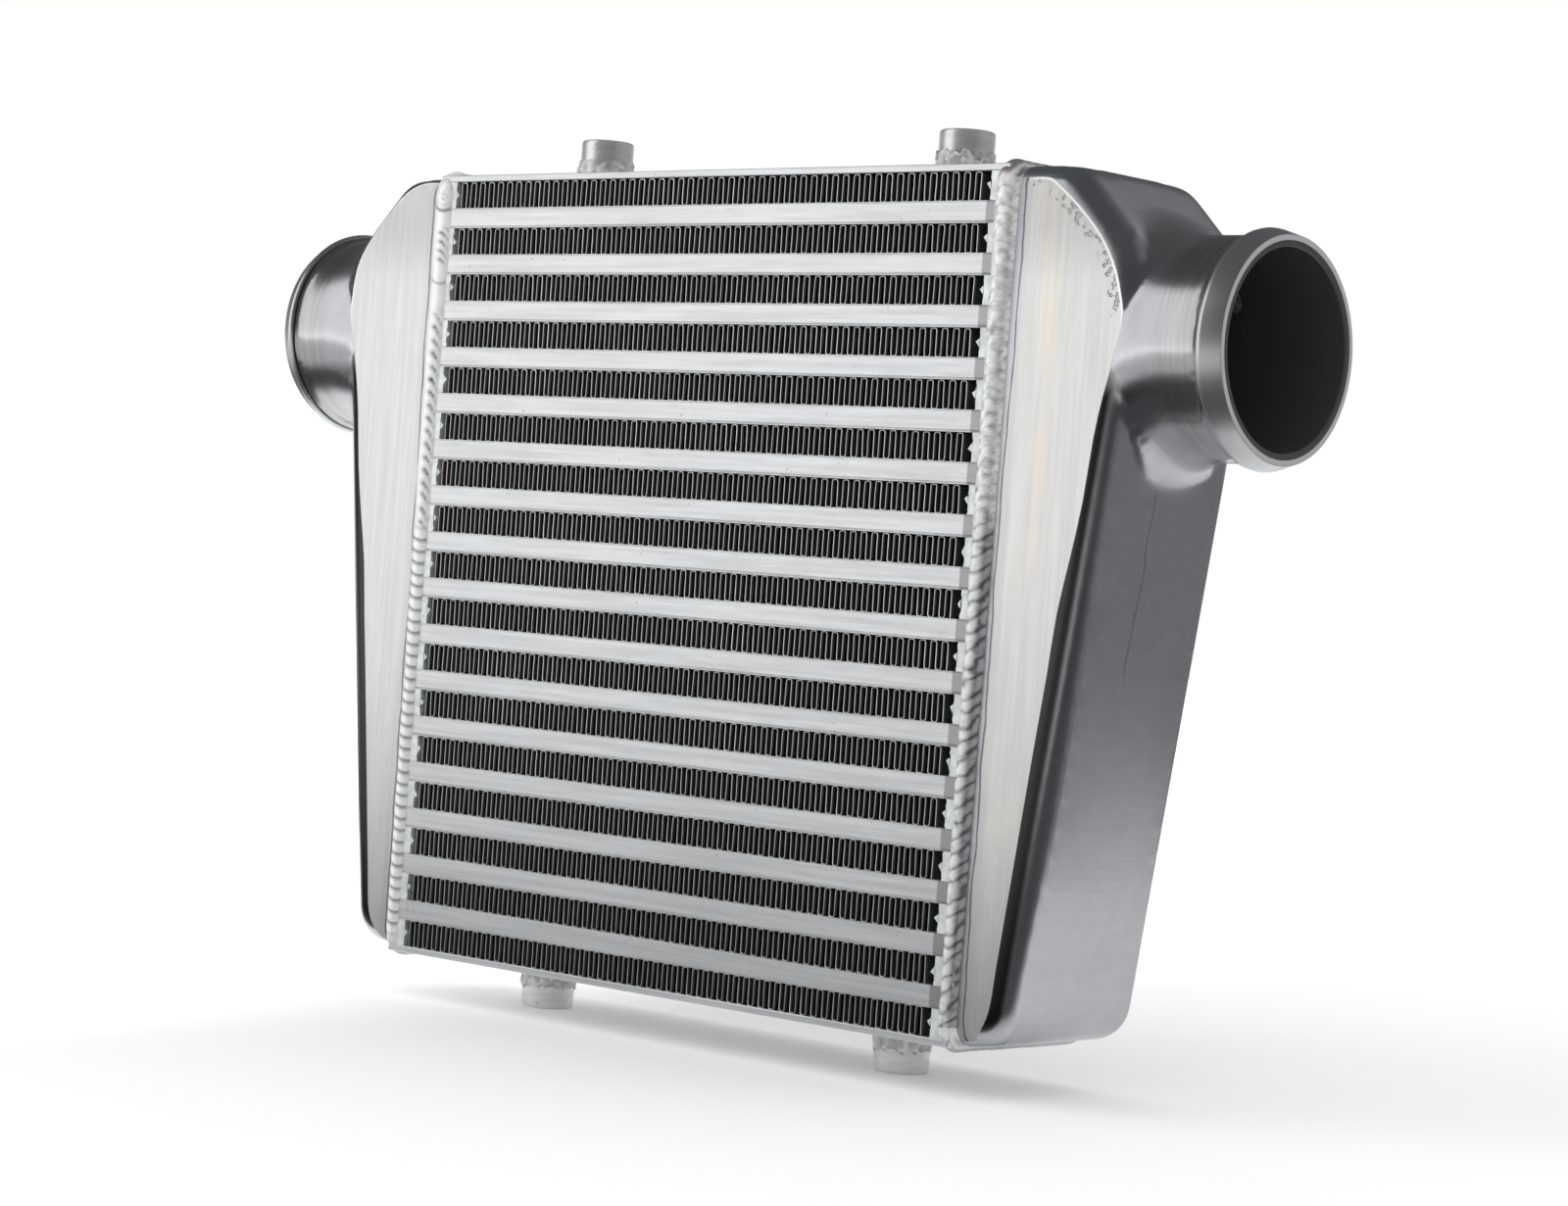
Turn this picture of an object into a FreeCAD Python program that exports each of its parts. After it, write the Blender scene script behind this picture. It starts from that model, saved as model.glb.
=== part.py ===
import FreeCAD, Part
import math
import os

import Sketcher

# Front-mounted charge air cooler with a bar-and-plate core and two cast end tanks.
# Frame: +X along the core, +Y to the rear, +Z up. The origin is on the ground under
# the middle of the core, between the ends of the two lower mounting bosses.

FIN_ROWS = 17

DRIVING_SIZES = [
    ("core_length", 280.0),
    ("core_depth", 76.0),
    ("fin_height", 10.0),
    ("fin_fold", 10.4),
    ("fin_wall", 0.7),
    ("fin_setback", 1.0),
    ("bar_height", 6.8),
    ("bar_depth", 8.0),
    ("sheet_thickness", 0.5),
    ("plate_thickness", 2.6),
    ("end_bar_width", 8.5),
    ("end_bar_nose", 1.6),
    ("turbulator_fold", 14.8),
    ("turbulator_wall", 0.5),
    ("tank_setback", 2.0),
    ("tank_wall", 4.0),
    ("tank_top_run", 24.8),
    ("tank_slope", 45.0),
    ("tank_slope_drop", 32.6),
    ("tank_taper", 7.3),
    ("tank_brow_radius", 12.0),
    ("tank_shoulder_radius", 39.0),
    ("tank_corner_radius", 14.0),
    ("tank_edge_radius", 8.5),
    ("tank_foot_lift", 3.5),
    ("stub_drop", 58.8),
    ("right_stub_reach", 91.5),
    ("left_stub_reach", 86.0),
    ("stub_diameter", 76.0),
    ("bore_diameter", 68.0),
    ("bore_start", 44.0),
    ("lip_diameter", 80.6),
    ("right_lip_length", 9.0),
    ("left_lip_length", 6.5),
    ("lip_crest", 2.0),
    ("lip_mouth_diameter", 76.6),
    ("root_end", 31.5),
    ("root_length", 34.0),
    ("root_rise", 9.0),
    ("root_fall", 24.0),
    ("root_narrowing", 8.0),
    ("bead_radius", 6.5),
    ("bead_height", 2.5),
    ("bead_offset", 2.0),
    ("boss_diameter", 20.0),
    ("boss_height", 16.8),
    ("boss_chamfer", 1.0),
    ("boss_inset", 51.0),
    ("drill_diameter", 6.8),
    ("drill_depth", 14.0),
]

doc = FreeCAD.newDocument("charge_air_cooler")
sheet = doc.addObject("Spreadsheet::Sheet", "Sizes")
for line, (alias, value) in enumerate(DRIVING_SIZES, start=1):
    sheet.set(f"A{line}", str(value))
    sheet.setAlias(f"A{line}", alias)
doc.recompute()

# What the driving sizes give together, written as expressions.
PASSAGE = "(Sizes.bar_height + 2 * Sizes.sheet_thickness)"
CORE_HEIGHT = f"(2 * Sizes.plate_thickness + {FIN_ROWS} * Sizes.fin_height + {FIN_ROWS - 1} * {PASSAGE})"
CORE_TOP = f"(Sizes.boss_height + {CORE_HEIGHT})"
CORE_END = "(Sizes.core_length / 2)"
CORE_FRONT = "(Sizes.core_depth / 2)"
STUB_AXIS = f"({CORE_TOP} - Sizes.stub_drop)"
TANK_DEPTH = "(Sizes.core_depth - 2 * Sizes.tank_setback)"
ROOT_SECTIONS = 5
BEAD_SIDES = 12
OVERCUT = 1.0
UPRIGHT = FreeCAD.Rotation()
UPSIDE_DOWN = FreeCAD.Rotation(FreeCAD.Vector(1, 0, 0), 180)
ALONG_X = FreeCAD.Rotation(FreeCAD.Vector(0, 1, 0), 90)
ALONG_Y = FreeCAD.Rotation(FreeCAD.Vector(1, 0, 0), -90)
FACING_X = FreeCAD.Rotation(FreeCAD.Vector(0, 1, 0), -90)
HALF_TURN = FreeCAD.Rotation(FreeCAD.Vector(0, 0, 1), 180)


def size(alias):
    """A driving size, as a number."""
    return float(sheet.get(alias))


def bind(item, expressions):
    """Ties properties of a document object to expressions of the sheet."""
    for path, expression in expressions.items():
        item.setExpression(path, expression)


def place(item, x="0", y="0", z="0", rotation=UPRIGHT):
    """Turns an object, and ties its position to the sheet."""
    item.Placement = FreeCAD.Placement(FreeCAD.Vector(), rotation)
    bind(item, {"Placement.Base.x": x, "Placement.Base.y": y, "Placement.Base.z": z})
    return item


def box(name, length, width, height, x, y, z):
    """A plain block, whose sizes and low corner are expressions."""
    item = doc.addObject("Part::Box", name)
    bind(item, {"Length": length, "Width": width, "Height": height})
    return place(item, x, y, z)


def cylinder(name, radius, height, x, y, z, rotation=UPRIGHT):
    """A round bar, whose sizes and foot are expressions."""
    item = doc.addObject("Part::Cylinder", name)
    bind(item, {"Radius": radius, "Height": height})
    return place(item, x, y, z, rotation)


def weld_run(name, length, x, y, z, rotation=UPRIGHT):
    """A straight run of weld bead. It has a few flat sides, of which the top ones stay in sight."""
    item = doc.addObject("Part::Prism", name)
    item.Polygon = BEAD_SIDES
    bind(item, {"Circumradius": "Sizes.bead_radius", "Height": length})
    return place(item, x, y, z, rotation)


def fuse(name, shapes):
    """Pieces joined to one solid."""
    item = doc.addObject("Part::MultiFuse", name)
    item.Shapes = shapes
    return item


def cut(name, base, tool):
    """One piece with another taken out of it."""
    item = doc.addObject("Part::Cut", name)
    item.Base, item.Tool = base, tool
    return item


def mirrored(name, source):
    """The same piece for the left end of the core."""
    item = doc.addObject("Part::Mirroring", name)
    item.Source = source
    item.Normal = FreeCAD.Vector(1, 0, 0)
    item.Label = name
    return item


def group(name, links):
    """Separate solids that make one sub-part."""
    item = doc.addObject("Part::Compound", name)
    item.Links = links
    item.Label = name
    return item


def instance(name, master, x="0", y="0", z="0", rotation=UPRIGHT):
    """A placed copy of one piece."""
    return place(group(name, [master]), x, y, z, rotation)


def new_sketch(body, name, role="XZ_Plane"):
    """An empty sketch on a base plane of a body."""
    sketch = body.newObject("Sketcher::SketchObject", name)
    plane = [item for item in body.Origin.OriginFeatures if item.Role == role][0]
    sketch.AttachmentSupport = [(plane, "")]
    sketch.MapMode = "FlatFace"
    return sketch


def outline(sketch, corners):
    """A closed outline of straight lines, with each corner's place tied to the sheet."""
    count = len(corners)
    turns = [2 * math.pi * index / count for index in range(count)]
    rough = [FreeCAD.Vector(20 + 10 * math.cos(turn), 20 + 10 * math.sin(turn), 0) for turn in turns]
    for index in range(count):
        sketch.addGeometry(Part.LineSegment(rough[index], rough[(index + 1) % count]))
    for index in range(count):
        sketch.addConstraint(Sketcher.Constraint("Coincident", index, 2, (index + 1) % count, 1))
    for index, (across, up) in enumerate(corners):
        for axis, upright, expression in (("X", -2, across), ("Y", -1, up)):
            if expression == "0":
                sketch.addConstraint(Sketcher.Constraint("PointOnObject", index, 1, upright))
                continue
            number = sketch.addConstraint(Sketcher.Constraint(f"Distance{axis}", -1, 1, index, 1, 20.0))
            sketch.renameConstraint(number, f"corner_{index}_{axis.lower()}")
            sketch.setExpression(f".Constraints.corner_{index}_{axis.lower()}", expression)


def pad(body, sketch, name, length):
    """A pad that grows the same way to both sides of its sketch."""
    feature = body.newObject("PartDesign::Pad", name)
    feature.Profile = sketch
    feature.SideType = "Symmetric"
    feature.setExpression("Length", length)
    return feature


def turning(body, sketch, name, axis):
    """A full turn of a sketch about one of its own axes."""
    feature = body.newObject("PartDesign::Revolution", name)
    feature.Profile = sketch
    feature.ReferenceAxis = (sketch, [axis])
    feature.Angle = 360
    return feature


def edges_where(feature, chosen):
    """The names of a feature's edges whose bounds answer the test, from the lowest up."""
    doc.recompute()
    found = [
        (edge.BoundBox.ZMin, f"Edge{index}")
        for index, edge in enumerate(feature.Shape.Edges, start=1)
        if chosen(edge.BoundBox)
    ]
    return [name for height, name in sorted(found)]


def rounding(body, base, name, radius, edges):
    """Rounds the named edges of a feature."""
    feature = body.newObject("PartDesign::Fillet", name)
    feature.Base = (base, edges)
    feature.setExpression("Radius", radius)
    body.Tip = feature
    return feature


def folded_strip(name, role, fold, height, wall, width, folds):
    """A sheet folded to and fro, padded across its folds. Its foot is at zero height."""
    body = doc.addObject("PartDesign::Body", name)
    sketch = new_sketch(body, f"{name}_profile", role)
    half, full = f"Sizes.{fold}", f"2 * Sizes.{fold}"
    inside, top = f"Sizes.{height} - Sizes.{wall}", f"Sizes.{height}"
    foot = f"Sizes.{wall}"
    outline(sketch, [("0", "0"), (half, inside), (full, "0"), (full, foot), (half, top), ("0", foot)])
    fold_pad = pad(body, sketch, f"{name}_fold", width)
    doc.recompute()
    pattern = body.newObject("PartDesign::LinearPattern", f"{name}_folds")
    pattern.Originals = [fold_pad]
    pattern.Direction = (sketch, ["H_Axis"])
    pattern.Mode = "Spacing"
    pattern.Occurrences = folds
    pattern.setExpression("Offset", full)
    body.Tip = pattern
    return body


def row_foot(row):
    """Height of the foot of a fin row, counted from the lowest."""
    return f"Sizes.boss_height + Sizes.plate_thickness + {row} * (Sizes.fin_height + {PASSAGE})"


def make_plates():
    """The two outer plates of the core."""
    foot, head = "Sizes.boss_height", f"{CORE_TOP} - Sizes.plate_thickness"
    return [
        box(
            name,
            "Sizes.core_length",
            "Sizes.core_depth",
            "Sizes.plate_thickness",
            f"-{CORE_END}",
            f"-{CORE_FRONT}",
            level,
        )
        for name, level in (("bottom_plate", foot), ("top_plate", head))
    ]


def make_fins():
    """One folded cooling fin for each row, between the end bars."""
    clear = size("core_length") - 2 * (size("end_bar_width") + size("end_bar_nose"))
    folds = int(clear // (2 * size("fin_fold")))
    width = "Sizes.core_depth - 2 * Sizes.fin_setback"
    strip = folded_strip("fin_strip", "XZ_Plane", "fin_fold", "fin_height", "fin_wall", width, folds)
    start = f"-{folds} * Sizes.fin_fold"
    return [
        instance(f"cooling_fin_{row + 1:02d}", strip, start, "0", row_foot(row))
        for row in range(FIN_ROWS)
    ]


def make_charge_tubes():
    """Each charge air passage: a sheet above and below, and a bar at the front and rear."""
    length, left, front = "Sizes.core_length", f"-{CORE_END}", f"-{CORE_FRONT}"
    rear = f"{CORE_FRONT} - Sizes.bar_depth"
    tubes = []
    for row in range(FIN_ROWS - 1):
        number = f"{row + 1:02d}"
        foot = f"{row_foot(row)} + Sizes.fin_height"
        middle = f"{foot} + Sizes.sheet_thickness"
        head = f"{middle} + Sizes.bar_height"
        pieces = [
            box(f"{side}_sheet_{number}", length, "Sizes.core_depth", "Sizes.sheet_thickness", left, front, level)
            for side, level in (("lower", foot), ("upper", head))
        ]
        pieces += [
            box(f"{side}_bar_{number}", length, "Sizes.bar_depth", "Sizes.bar_height", left, start, middle)
            for side, start in (("front", front), ("rear", rear))
        ]
        tubes.append(group(f"charge_tube_{number}", pieces))
    return tubes


def make_turbulators():
    """The folded inner fins, one in each charge air passage."""
    clear = size("core_depth") - 2 * size("bar_depth")
    folds = int(clear // (2 * size("turbulator_fold")))
    width = "Sizes.core_length - 2 * Sizes.fin_setback"
    strip = folded_strip(
        "turbulator_strip", "YZ_Plane", "turbulator_fold", "bar_height", "turbulator_wall", width, folds
    )
    start = f"-{folds} * Sizes.turbulator_fold"
    strips = [
        instance(
            f"turbulator_{row + 1:02d}",
            strip,
            "0",
            start,
            f"{row_foot(row)} + Sizes.fin_height + Sizes.sheet_thickness",
        )
        for row in range(FIN_ROWS - 1)
    ]
    return [group("charge_air_turbulators", strips)]


def make_end_bars():
    """The extruded bars with a pointed nose that close each fin row at both ends."""
    body = doc.addObject("PartDesign::Body", "end_bar")
    sketch = new_sketch(body, "end_bar_profile")
    face, point = "Sizes.end_bar_width", "Sizes.end_bar_width + Sizes.end_bar_nose"
    top = "Sizes.fin_height"
    outline(sketch, [("0", "0"), (face, "0"), (point, f"{top} / 2"), (face, top), ("0", top)])
    pad(body, sketch, "end_bar_length", "Sizes.core_depth")
    groups = []
    for side, start, turn in (("left", f"-{CORE_END}", UPRIGHT), ("right", CORE_END, HALF_TURN)):
        bars = [
            instance(f"end_bar_{side}_{row + 1:02d}", body, start, "0", row_foot(row), turn)
            for row in range(FIN_ROWS)
        ]
        groups.append(group(f"end_bars_{side}", bars))
    return groups


def tank_form(name, inset, start, width):
    """The side view of a tank set in by a wall or by nothing, grown along Y.

    It is drawn from the top inner corner: a short flat top, a slope over the stub,
    a flank that leans in towards the foot, and a foot that rises a little outwards.
    All its corners are round.
    """
    body = doc.addObject("PartDesign::Body", name)
    sketch = new_sketch(body, f"{name}_profile")
    foot, head = f"{inset} - {CORE_HEIGHT}", f"-{inset}" if inset != "0" else "0"
    brow = f"Sizes.tank_top_run - {inset} * tan(Sizes.tank_slope / 2)"
    between = "((90 - Sizes.tank_slope + Sizes.tank_taper) / 2)"
    outward = "((90 - Sizes.tank_slope - Sizes.tank_taper) / 2)"
    hip = f"Sizes.tank_top_run + Sizes.tank_slope_drop / tan(Sizes.tank_slope)"
    hip_across = f"({hip} - {inset} * cos({outward}) / cos({between}))"
    hip_up = f"(-Sizes.tank_slope_drop - {inset} * sin({outward}) / cos({between}))"
    heel_up = f"({foot} + Sizes.tank_foot_lift)"
    heel_across = f"{hip_across} - ({hip_up} - {heel_up}) * tan(Sizes.tank_taper)"
    outline(
        sketch,
        [(start, foot), (heel_across, heel_up), (hip_across, hip_up), (brow, head), (start, head)],
    )
    form = pad(body, sketch, f"{name}_width", width)

    def outer_corner(bounds):
        return bounds.XLength < 0.01 and bounds.ZLength < 0.01 and bounds.XMin > 1

    for corner, place_in_order in (("corner", 0), ("brow", -1), ("shoulder", 2)):
        edge = edges_where(form, outer_corner)[place_in_order]
        radius = f"Sizes.tank_{corner}_radius - {inset}"
        form = rounding(body, form, f"{name}_{corner}", radius, [edge])
    place(body, CORE_END, "0", CORE_TOP)
    return body, form


def make_tank_block():
    """The outside of a tank, with its long edges rounded."""
    body, form = tank_form("tank_block", "0", "0", TANK_DEPTH)

    def outer_side(bounds):
        return bounds.YLength < 0.01 and bounds.XMax > 0.01

    rounding(body, form, "tank_edges", "Sizes.tank_edge_radius", edges_where(form, outer_side))
    return body


def make_stub_root():
    """The flared foot where the pipe stub grows out of the tank, lofted through ellipses."""
    radius = "Sizes.stub_diameter / 2"
    sections = []
    for number in range(ROOT_SECTIONS):
        share = number / (ROOT_SECTIONS - 1)
        grown = share**2
        rise, fall = f"{grown} * Sizes.root_rise", f"{grown} * Sizes.root_fall"
        ellipse = doc.addObject("Part::Ellipse", f"root_section_{number}")
        bind(
            ellipse,
            {
                "MajorRadius": f"{radius} + ({rise} + {fall}) / 2",
                "MinorRadius": f"{radius} - {grown} * Sizes.root_narrowing",
            },
        )
        across = f"{CORE_END} + Sizes.root_end + {1 - share} * Sizes.root_length"
        place(ellipse, across, "0", f"{STUB_AXIS} + ({rise} - {fall}) / 2", FACING_X)
        sections.append(ellipse)
    loft = doc.addObject("Part::Loft", "stub_root")
    loft.Sections = sections
    loft.Solid = True
    loft.Ruled = True
    return loft


def make_stub(side):
    """The turned end of the pipe stub, with the raised lip that holds a hose on."""
    body = doc.addObject("PartDesign::Body", f"{side}_stub_turning")
    sketch = new_sketch(body, f"{side}_stub_profile")
    mouth = f"(Sizes.{side}_stub_reach - Sizes.root_end - Sizes.root_length)"
    lip = f"({mouth} - Sizes.{side}_lip_length)"
    barrel, crest = "Sizes.stub_diameter / 2", "Sizes.lip_diameter / 2"
    outline(
        sketch,
        [
            ("0", "0"),
            ("0", barrel),
            (lip, barrel),
            (lip, crest),
            (f"{lip} + Sizes.lip_crest", crest),
            (mouth, "Sizes.lip_mouth_diameter / 2"),
            (mouth, "0"),
        ],
    )
    turning(body, sketch, f"{side}_stub_turned", "H_Axis")
    return place(body, f"{CORE_END} + Sizes.root_end + Sizes.root_length", "0", STUB_AXIS)


def make_tank(side, block, root, cavity):
    """One tank casting as it stands at the right end of the core, hollow and bored."""
    outside = fuse(f"{side}_tank_outside", [block, root, make_stub(side)])
    bore = cylinder(
        f"{side}_stub_bore",
        "Sizes.bore_diameter / 2",
        f"Sizes.{side}_stub_reach - Sizes.bore_start + {OVERCUT}",
        f"{CORE_END} + Sizes.bore_start",
        "0",
        STUB_AXIS,
        ALONG_X,
    )
    return cut(f"{side}_tank", outside, fuse(f"{side}_tank_hollow", [cavity, bore]))


def make_tanks(block):
    """The two tanks. The left one is cut a little shorter, and is mirrored into place."""
    inner_width = f"{TANK_DEPTH} - 2 * Sizes.tank_wall"
    cavity, _ = tank_form("tank_cavity", "Sizes.tank_wall", f"-{OVERCUT}", inner_width)
    root = make_stub_root()
    right, left = (make_tank(side, block, root, cavity) for side in ("right", "left"))
    left.Label = "left_tank_unmirrored"
    return [right, mirrored("left_tank", left)]


def make_welds(block):
    """The weld bead that runs round each joint of core and tank."""
    sink = "(Sizes.bead_radius - Sizes.bead_height)"
    across = f"{CORE_END} - Sizes.bead_offset"
    side = f"({CORE_FRONT} - {sink})"
    low, high = f"Sizes.boss_height + {sink}", f"{CORE_TOP} - {sink}"
    tall, deep = f"{CORE_HEIGHT} + 2 * Sizes.bead_height", "Sizes.core_depth + 2 * Sizes.bead_height"
    foot, front = "Sizes.boss_height - Sizes.bead_height", f"-{CORE_FRONT} - Sizes.bead_height"
    runs = [
        weld_run("front_bead", tall, across, f"-{side}", foot),
        weld_run("rear_bead", tall, across, side, foot),
        weld_run("lower_bead", deep, across, front, low, ALONG_Y),
        weld_run("upper_bead", deep, across, front, high, ALONG_Y),
    ]
    core = box(
        "core_envelope",
        "Sizes.core_length",
        "Sizes.core_depth",
        CORE_HEIGHT,
        f"-{CORE_END}",
        f"-{CORE_FRONT}",
        "Sizes.boss_height",
    )
    right = cut("tank_weld_right", fuse("bead_runs", runs), fuse("joined_pieces", [core, block]))
    return [right, mirrored("tank_weld_left", right)]


def make_bosses():
    """Four round mounting bosses, each with a blind drilled hole."""
    body = doc.addObject("PartDesign::Body", "boss_turning")
    sketch = new_sketch(body, "boss_profile")
    radius, drill = "Sizes.boss_diameter / 2", "Sizes.drill_diameter / 2"
    hole_foot = "Sizes.boss_height - Sizes.drill_depth"
    outline(
        sketch,
        [
            ("0", "0"),
            (radius, "0"),
            (radius, "Sizes.boss_height - Sizes.boss_chamfer"),
            (f"{radius} - Sizes.boss_chamfer", "Sizes.boss_height"),
            (drill, "Sizes.boss_height"),
            (drill, hole_foot),
            ("0", hole_foot),
        ],
    )
    turning(body, sketch, "boss_turned", "V_Axis")
    bosses = [
        instance(f"boss_{level}_{side}", body, f"{sign}({CORE_END} - Sizes.boss_inset)", "0", z, turn)
        for level, z, turn in (("top", CORE_TOP, UPRIGHT), ("bottom", "Sizes.boss_height", UPSIDE_DOWN))
        for side, sign in (("left", "-"), ("right", ""))
    ]
    return [group("mounting_bosses", bosses)]


def check(parts):
    """Stops the build if an object failed, or a sub-part isn't sound."""
    failed = [item.Name for item in doc.Objects if "Invalid" in item.State or "Error" in item.State]
    if failed:
        raise RuntimeError(f"these objects failed: {failed}")
    for part in parts:
        if part.Shape.isNull() or not part.Shape.isValid() or not part.Shape.Solids:
            raise RuntimeError(f"{part.Label} isn't a sound solid")


def main():
    """Builds every sub-part and writes each to its own file."""
    block = make_tank_block()
    parts = make_plates() + make_fins() + make_charge_tubes() + make_turbulators()
    parts += make_end_bars() + make_tanks(block) + make_welds(block) + make_bosses()
    doc.recompute()
    check(parts)
    os.makedirs("parts", exist_ok=True)
    for part in parts:
        part.Shape.exportStep(f"parts/{part.Label}.step")


main()
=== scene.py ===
"""Finished looks for a bar-and-plate charge air cooler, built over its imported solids."""

import functools
import math
import types

import bmesh
import bpy
from bpy.props import FloatProperty, FloatVectorProperty, PointerProperty
from mathutils import Matrix, Vector, noise


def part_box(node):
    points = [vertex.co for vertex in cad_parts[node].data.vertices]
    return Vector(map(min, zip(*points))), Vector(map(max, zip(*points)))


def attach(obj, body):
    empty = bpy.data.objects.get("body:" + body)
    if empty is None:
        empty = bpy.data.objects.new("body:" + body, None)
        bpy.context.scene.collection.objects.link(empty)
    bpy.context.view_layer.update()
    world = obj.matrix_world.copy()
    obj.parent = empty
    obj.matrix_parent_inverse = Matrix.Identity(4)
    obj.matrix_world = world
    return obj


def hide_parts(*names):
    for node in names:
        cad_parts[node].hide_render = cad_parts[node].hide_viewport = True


bl_info = {
    "name": "Charge Air Cooler Looks",
    "version": (1, 0, 0),
    "blender": (4, 5, 0),
    "location": "3D View > Sidebar > Cooler",
    "description": "Fins, bars, weld beads, cast tanks and a plain studio for a charge air cooler",
    "category": "Object",
}

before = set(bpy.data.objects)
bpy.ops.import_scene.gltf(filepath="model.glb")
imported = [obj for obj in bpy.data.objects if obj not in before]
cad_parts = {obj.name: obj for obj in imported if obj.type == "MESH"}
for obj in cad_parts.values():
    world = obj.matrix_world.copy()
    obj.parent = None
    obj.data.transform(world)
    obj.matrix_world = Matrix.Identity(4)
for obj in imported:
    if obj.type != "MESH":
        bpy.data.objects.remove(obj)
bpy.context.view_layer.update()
SIDES = {"left": -1.0, "right": 1.0}
CORE_HALF_LENGTH, CORE_HALF_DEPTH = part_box("charge_tube_01")[1].xy
CORE_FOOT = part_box("bottom_plate")[0].z
CORE_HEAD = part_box("top_plate")[1].z
CORE_MIDDLE = (CORE_FOOT + CORE_HEAD) / 2
FIN_RIM = CORE_HALF_DEPTH - 0.0010
STUB_HEIGHT = 0.258
RIGHT_LIP_START = 0.2225
LEFT_LIP_START = -0.2195

CAMERA_PLACE = Vector((0.94164, -1.03838, 0.1731))
CAMERA_YAW = math.radians(41.65)
CAMERA_PITCH = math.radians(-0.45)
CAMERA_ROLL = math.radians(4.10)
CAMERA_LENS = 3870.0 / 1600.0 * 36.0

WHITE = (1.0, 1.0, 1.0)
CREAM = (0.84, 0.79, 0.70)
ROOM_COLOUR = (0.085, 0.086, 0.090)
SIDE_COLOUR = (0.27, 0.27, 0.28)
PANEL_COLOUR = (0.76, 0.76, 0.76)
SIDE_WAY = (0.65, 0.76, 0.0)
TABLE_MIDDLE = (0.02, 0.20, 0.0)
TABLE_EDGE = (0.836, -0.547, 0.0)
TABLE_END = (-0.754, 0.656, 0.0)
TANK_FOOT = (0.17, 0.0, 0.0)

# The lamps: how far off and how high the key lamp stands, and the place and aim of the rear one.
KEY_DISTANCE = 2.0
KEY_HEIGHT = 1.16
KEY_SIZE = (1.7, 2.3)
REAR_PLACE = Vector((0.3, 1.6, 1.7))
REAR_AIM = Vector((0.2, 0.0, 0.3))
REAR_SIZE = (0.5, 0.4)
REAR_SHARE = 0.45

# The edge of the flat face of a tank: distance from the middle plane, height.
FACE_EDGE = (
    (0.1300, 0.3122), (0.1462, 0.3121), (0.1550, 0.3119), (0.1595, 0.3094), (0.1662, 0.3044),
    (0.1728, 0.2985), (0.1782, 0.2928), (0.1826, 0.2867), (0.1861, 0.2800), (0.1883, 0.2730),
    (0.1896, 0.2665), (0.1892, 0.2600), (0.1872, 0.2540), (0.1858, 0.2465), (0.1838, 0.2380),
    (0.1813, 0.2245), (0.1788, 0.2035), (0.1753, 0.1846), (0.1716, 0.1664), (0.1691, 0.1445),
    (0.1659, 0.1201), (0.1611, 0.0809), (0.1567, 0.0451), (0.1555, 0.0340), (0.1535, 0.0272),
    (0.1500, 0.0222), (0.1465, 0.0194), (0.1300, 0.0185),
)


def nodes_like(prefix):
    return sorted(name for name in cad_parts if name.startswith(prefix))


def fin_reach(core):
    return CORE_HALF_LENGTH - core.end_bar_width - core.end_bar_nose - 0.0006


def fin_pitch(core):
    """The number of full folds between the end bars, and the length of one."""
    folds = 2 * int(fin_reach(core) / core.fold_pitch)
    return folds, 2 * fin_reach(core) / folds


def length_setting(name, text, value):
    return FloatProperty(name=name, description=text, default=value, min=0.0, unit="LENGTH")


def level_setting(name, text, value):
    return FloatProperty(name=name, description=text, default=value, min=0.0)


def colour_setting(name, text, value):
    return FloatVectorProperty(name=name, description=text, default=value, subtype="COLOR")


class CoolerCore(bpy.types.PropertyGroup):
    """Sizes of the parts of the core"""

    fold_pitch: length_setting("Fold Pitch", "Length of one full fold of a cooling fin", 0.00482)
    fold_radius: length_setting("Fold Radius", "Radius of the corners of a fold", 0.00075)
    foil: length_setting("Foil", "Thickness of the fin foil", 0.00028)
    fold_wander: length_setting("Fold Wander", "How far the folds stray from an even spacing", 0.00013)
    fin_setback: length_setting("Fin Setback", "How far the fins stand back in the core", 0.0008)
    sheet: length_setting("Sheet", "Thickness of a separator sheet", 0.0005)
    seam: length_setting("Seam", "Height of the seam between a bar and the sheet under it", 0.00026)
    bar_depth: length_setting("Bar Depth", "Depth of a charge tube bar", 0.008)
    end_bar_width: length_setting("End Bar Width", "Width of an end bar to its nose", 0.0085)
    end_bar_nose: length_setting("End Bar Nose", "How far the nose of an end bar stands out", 0.0016)


class CoolerTank(bpy.types.PropertyGroup):
    """Sizes of the cast tanks"""

    grid: length_setting("Grid", "Size of the small faces of the casting", 0.0013)
    right_lip: length_setting("Right Lip", "Length of the right hose lip", 0.009)
    left_lip: length_setting("Left Lip", "Length of the left hose lip", 0.0065)


class CoolerWelds(bpy.types.PropertyGroup):
    """Sizes of the weld beads"""

    radius: length_setting("Bead Radius", "Radius of a tank bead", 0.0065)
    ripple: length_setting("Ripple", "Height of the ripples on a bead", 0.0005)
    step: length_setting("Step", "Length of one facet along a bead", 0.00044)
    collar_leg: length_setting("Collar Leg", "Spread of the weld round a boss over the plate", 0.0015)
    collar_height: length_setting("Collar Height", "Height of the weld round a boss", 0.0088)


class CoolerFinish(bpy.types.PropertyGroup):
    """Colours of the metal"""

    bright: colour_setting("Bright Metal", "Colour of the brushed faces", (0.72, 0.72, 0.71))
    cast: colour_setting("Cast Metal", "Colour of the satin cast metal", (0.54, 0.55, 0.57))
    foil: colour_setting("Foil", "Colour of the fin foil", (0.62, 0.62, 0.62))
    stain: colour_setting("Stain", "Colour of the faint heat stain", (0.78, 0.68, 0.55))


class CoolerStudio(bpy.types.PropertyGroup):
    """The plain studio round the cooler"""

    key_level: level_setting("Key Level", "Brightness of the main soft lamp, where 1 looks white", 1.2)
    ambient: level_setting("Ambient", "Level of the light from all round", 1.0)


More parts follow.
